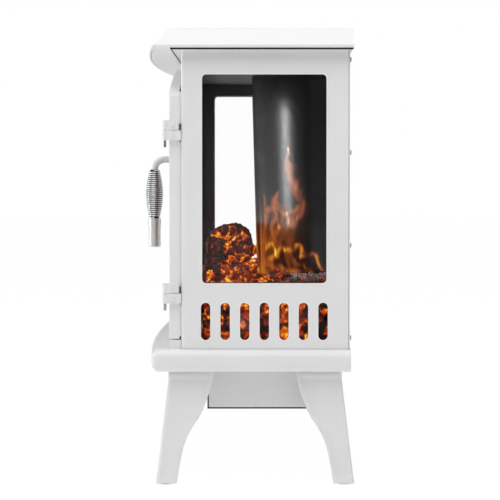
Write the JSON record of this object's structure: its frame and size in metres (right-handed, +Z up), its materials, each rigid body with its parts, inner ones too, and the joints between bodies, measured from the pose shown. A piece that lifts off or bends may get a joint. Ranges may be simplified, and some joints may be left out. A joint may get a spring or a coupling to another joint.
{
  "type": "electric fireplace stove",
  "caption": "Free-standing electric stove heater: bowed cap and base, glazed arched door, side windows with log fire effect, cabriole legs and a fan heater under the base.",
  "frame": {"origin": "centre of the outline's footprint, on the floor", "axes": "+X to the hinged side of the door, +Y to the rear cover, +Z up; the door faces -Y"},
  "size_m": [0.61, 0.3112, 0.594],
  "materials": {
    "white_enamel": "white powder-coat paint with a fine even grain, satin",
    "rear_enamel": "white powder-coat paint, plain sheet",
    "clear_glass": "clear toughened glass with polished edges",
    "black_steel": "matt black heat-proof paint",
    "smoked_screen": "glossy smoked acrylic that the flames show on",
    "ember_resin": "translucent amber moulding, lit from below",
    "coal_resin": "moulded embers, painted black over glowing orange",
    "log_resin": "moulded log, painted char black and ash grey with glowing cracks",
    "mirror_foil": "bright foil paddles on a steel rod",
    "motor_steel": "zinc plated steel",
    "bearing_nylon": "natural nylon",
    "circuit_board": "green circuit board with parts",
    "black_plastic": "moulded black plastic, fine texture",
    "knob_plastic": "satin black moulded knob",
    "rocker_red": "red switch key",
    "rocker_black": "black switch key",
    "fan_aluminium": "pressed aluminium blades",
    "heater_ceramic": "ceramic heating element with aluminium fins",
    "nickel_rod": "white coated steel rod",
    "spring_chrome": "bright nickel plated wire, wound close",
    "end_enamel": "satin silver and white turned end",
    "zinc_screw": "zinc plated steel",
    "pin_steel": "bright drawn steel pin"
  },
  "bodies": {
    "cabinet": {"base_moulding": "white_enamel", "blower_bearing": "bearing_nylon", "blower_motor": "motor_steel", "cabinet_hinge_leaves": "white_enamel", "cap_underplate": "white_enamel", "coal_heap": "coal_resin", "control_panel": "black_steel", "control_pots": "black_plastic", "cord_bush": "black_plastic", "door_sill": "white_enamel", "ember_bed": "ember_resin", "ember_light_board": "circuit_board", "firebox_ceiling": "black_steel", "flame_light_board": "circuit_board", "flame_screen": "smoked_screen", "flicker_motor": "motor_steel", "foot_pads": "black_plastic", "front_frame": "white_enamel", "glass_retainer_left": "black_steel", "glass_retainer_right": "black_steel", "heater_element": "heater_ceramic", "heater_housing": "white_enamel", "hinge_pins": "pin_steel", "leg_bolts": "zinc_screw", "leg_front_left": "white_enamel", "leg_front_right": "white_enamel", "leg_rear_left": "white_enamel", "leg_rear_right": "white_enamel", "log_ash": "log_resin", "log_front": "log_resin", "log_left": "log_resin", "log_small": "log_resin", "magnet_catch": "motor_steel", "outlet_grille": "black_steel", "power_board": "circuit_board", "rear_cover": "rear_enamel", "rear_cover_screws": "zinc_screw", "side_glass_left": "clear_glass", "side_glass_right": "clear_glass", "side_liner_left": "black_steel", "side_liner_right": "black_steel", "side_panel_left": "white_enamel", "side_panel_right": "white_enamel", "spindle_bearings": "bearing_nylon", "switch_bezels": "black_plastic", "thermal_cutout": "black_plastic", "top_cap": "white_enamel"},
    "door": {"door_frame": "white_enamel", "door_glass": "clear_glass", "door_glass_clips": "zinc_screw", "handle_rod": "nickel_rod", "handle_spring": "spring_chrome", "handle_end": "end_enamel", "door_hinge_leaves": "white_enamel"},
    "thermostat": {"thermostat_knob": "knob_plastic"},
    "flame_dimmer": {"flame_knob": "knob_plastic"},
    "power_switch": {"power_rocker": "rocker_red"},
    "heat_switch": {"heat_rocker": "rocker_black"},
    "flicker": {"flicker_spindle": "mirror_foil"},
    "blower": {"blower_wheel": "fan_aluminium"}
  },
  "joints": [
    {"name": "door_hinge", "type": "hinge", "parent": "cabinet", "child": "door", "pos_m": [0.29, -0.09087, 0], "axis": [0, 0, 1], "range_deg": [0, 120]},
    {"name": "thermostat_turn", "type": "hinge", "parent": "cabinet", "child": "thermostat", "pos_m": [-0.09, -0.05647, 0.2146], "axis": [0, 1, 0], "range_deg": [0, 270]},
    {"name": "flame_turn", "type": "hinge", "parent": "cabinet", "child": "flame_dimmer", "pos_m": [0.09, -0.05647, 0.2146], "axis": [0, 1, 0], "range_deg": [0, 270]},
    {"name": "power_rock", "type": "hinge", "parent": "cabinet", "child": "power_switch", "pos_m": [-0.03, -0.05547, 0.2146], "axis": [1, 0, 0], "range_deg": [0, 12]},
    {"name": "heat_rock", "type": "hinge", "parent": "cabinet", "child": "heat_switch", "pos_m": [0.03, -0.05547, 0.2146], "axis": [1, 0, 0], "range_deg": [0, 12]},
    {"name": "flicker_spin", "type": "hinge", "parent": "cabinet", "child": "flicker", "pos_m": [0, 0.09202, 0.3276], "axis": [1, 0, 0], "continuous": true},
    {"name": "blower_spin", "type": "hinge", "parent": "cabinet", "child": "blower", "pos_m": [0, 0.07402, 0.1179], "axis": [1, 0, 0], "continuous": true}
  ]
}
